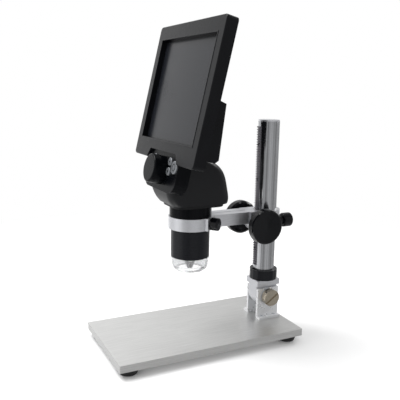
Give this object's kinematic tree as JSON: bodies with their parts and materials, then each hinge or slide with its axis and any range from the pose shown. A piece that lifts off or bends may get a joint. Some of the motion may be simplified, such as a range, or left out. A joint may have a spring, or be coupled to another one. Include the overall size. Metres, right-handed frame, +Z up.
{
  "type": "lcd digital microscope",
  "caption": "Digital inspection microscope with a leaning flat screen above the barrel, held by a ring arm that slides on a rack column over a flat stage plate.",
  "frame": {"origin": "on the floor under the middle of the whole outline", "axes": "+Z up; +Y from the user at the screen to the column at the back; +X to the user's right"},
  "size_m": [0.14, 0.208, 0.311],
  "materials": {
    "acetal": "moulded",
    "battery_wrap": "shrink film",
    "black_abs": "fine texture",
    "black_phenolic": "moulded",
    "black_rubber": "moulded",
    "brass": "turned",
    "circuit_board": "solder mask",
    "clear_acrylic": "clear",
    "lcd": "polariser film",
    "machined_aluminium": "fine machined",
    "nickel_steel": "nickel plated",
    "optical_glass": "polished",
    "polished_steel": "polished",
    "satin_aluminium": "satin anodised",
    "satin_black_abs": "satin moulded",
    "screen_glass": "hard coated",
    "silver_abs": "painted silver",
    "zinc_steel": "zinc plated"
  },
  "bodies": {
    "base": {"base_plate": "satin_aluminium", "rubber_feet": "black_rubber", "foot_screws": "zinc_steel", "hinge_cheek_left": "nickel_steel", "hinge_cheek_right": "nickel_steel", "cheek_screws": "zinc_steel", "tilt_washer": "zinc_steel", "tilt_nut": "zinc_steel"},
    "column": {"hinge_block": "machined_aluminium", "column_collar": "black_phenolic", "collar_grub": "zinc_steel", "column_tube": "polished_steel", "rack_strip": "nickel_steel", "rack_screws": "zinc_steel", "column_cap": "black_abs"},
    "tilt_bolt": {"tilt_bolt": "nickel_steel"},
    "carriage": {"support_arm": "machined_aluminium", "slide_bushes": "acetal", "shaft_bushes": "brass"},
    "pinion": {"pinion_shaft": "nickel_steel", "coarse_knob_left": "black_phenolic", "coarse_knob_right": "black_phenolic", "knob_grubs": "zinc_steel"},
    "column_lock": {"lock_screw": "zinc_steel", "lock_knob": "black_phenolic"},
    "ring_clamp": {"ring_screw": "zinc_steel", "ring_screw_knob": "black_phenolic"},
    "head": {"front_bezel": "satin_black_abs", "screen_glass": "screen_glass", "lcd_module": "lcd", "rear_cover": "satin_black_abs", "main_board": "circuit_board", "board_screws": "zinc_steel", "cover_screws": "zinc_steel", "battery_pack": "battery_wrap", "board_sockets": "zinc_steel", "control_pod": "black_abs", "switch_board": "circuit_board", "neck_front_shell": "black_abs", "neck_rear_shell": "black_abs", "neck_base": "black_abs", "barrel_tube": "black_abs", "barrel_shoulder": "black_abs", "led_hood": "clear_acrylic", "nose_cone": "black_abs", "led_board": "circuit_board", "guide_rods": "nickel_steel", "sensor_mount": "black_abs", "sensor_board": "circuit_board"},
    "focus": {"focus_wheel": "black_abs", "focus_shaft": "nickel_steel"},
    "lens": {"lens_carriage": "black_abs", "lenses": "optical_glass"},
    "button_left_high": {"button_left_high": "silver_abs"},
    "button_left_low": {"button_left_low": "silver_abs"},
    "button_left_round": {"button_left_round": "silver_abs"},
    "button_right_high": {"button_right_high": "silver_abs"},
    "button_right_low": {"button_right_low": "silver_abs"},
    "button_right_round": {"button_right_round": "silver_abs"}
  },
  "joints": [
    {"name": "column_tilt", "type": "hinge", "parent": "base", "child": "column", "pos_m": [0, 0.073, 0.037], "axis": [1, 0, 0], "range_deg": [-8, 8]},
    {"name": "tilt_bolt_turn", "type": "hinge", "parent": "base", "child": "tilt_bolt", "pos_m": [0, 0.073, 0.037], "axis": [1, 0, 0], "range_deg": [-180, 180]},
    {"name": "height_slide", "type": "slide", "parent": "column", "child": "carriage", "axis": [0, 0, 1], "range_m": [-0.035, 0.08]},
    {"name": "coarse_knob_turn", "type": "hinge", "parent": "carriage", "child": "pinion", "pos_m": [0, 0.0573, 0.1169], "axis": [1, 0, 0], "range_deg": [-1147.9, 503.3]},
    {"name": "column_lock_turn", "type": "hinge", "parent": "carriage", "child": "column_lock", "pos_m": [0, 0.084, 0.1152], "axis": [0, 1, 0], "range_deg": [-360, 360]},
    {"name": "ring_clamp_turn", "type": "hinge", "parent": "carriage", "child": "ring_clamp", "pos_m": [0, -0.0137, 0.1235], "axis": [0.788, 0.6157, 0], "range_deg": [-360, 360]},
    {"name": "head_swivel", "type": "hinge", "parent": "carriage", "child": "head", "pos_m": [0, -0.0137, 0.1235], "axis": [0, 0, 1], "range_deg": [-90, 90]},
    {"name": "focus_turn", "type": "hinge", "parent": "head", "child": "focus", "pos_m": [0, -0.04746, 0.17623], "axis": [0, -0.9736, 0.2284], "range_deg": [-100, 100]},
    {"name": "lens_slide", "type": "slide", "parent": "head", "child": "lens", "axis": [0, 0, 1], "range_m": [-0.004, 0.004]},
    {"name": "button_left_high_press", "type": "slide", "parent": "head", "child": "button_left_high", "axis": [0, 0.9736, -0.2284], "range_m": [0, 0.0008], "stiffness_N_per_m": 900, "springref_m": -0.0003},
    {"name": "button_left_low_press", "type": "slide", "parent": "head", "child": "button_left_low", "axis": [0, 0.9736, -0.2284], "range_m": [0, 0.0008], "stiffness_N_per_m": 900, "springref_m": -0.0003},
    {"name": "button_left_round_press", "type": "slide", "parent": "head", "child": "button_left_round", "axis": [0, 0.9736, -0.2284], "range_m": [0, 0.0008], "stiffness_N_per_m": 900, "springref_m": -0.0003},
    {"name": "button_right_high_press", "type": "slide", "parent": "head", "child": "button_right_high", "axis": [0, 0.9736, -0.2284], "range_m": [0, 0.0008], "stiffness_N_per_m": 900, "springref_m": -0.0003},
    {"name": "button_right_low_press", "type": "slide", "parent": "head", "child": "button_right_low", "axis": [0, 0.9736, -0.2284], "range_m": [0, 0.0008], "stiffness_N_per_m": 900, "springref_m": -0.0003},
    {"name": "button_right_round_press", "type": "slide", "parent": "head", "child": "button_right_round", "axis": [0, 0.9736, -0.2284], "range_m": [0, 0.0008], "stiffness_N_per_m": 900, "springref_m": -0.0003}
  ],
  "couplings": [
    {"joint": "coarse_knob_turn", "follows": "height_slide", "rad_per_m": -250},
    {"joint": "focus_turn", "follows": "lens_slide", "rad_per_m": 427.97}
  ]
}
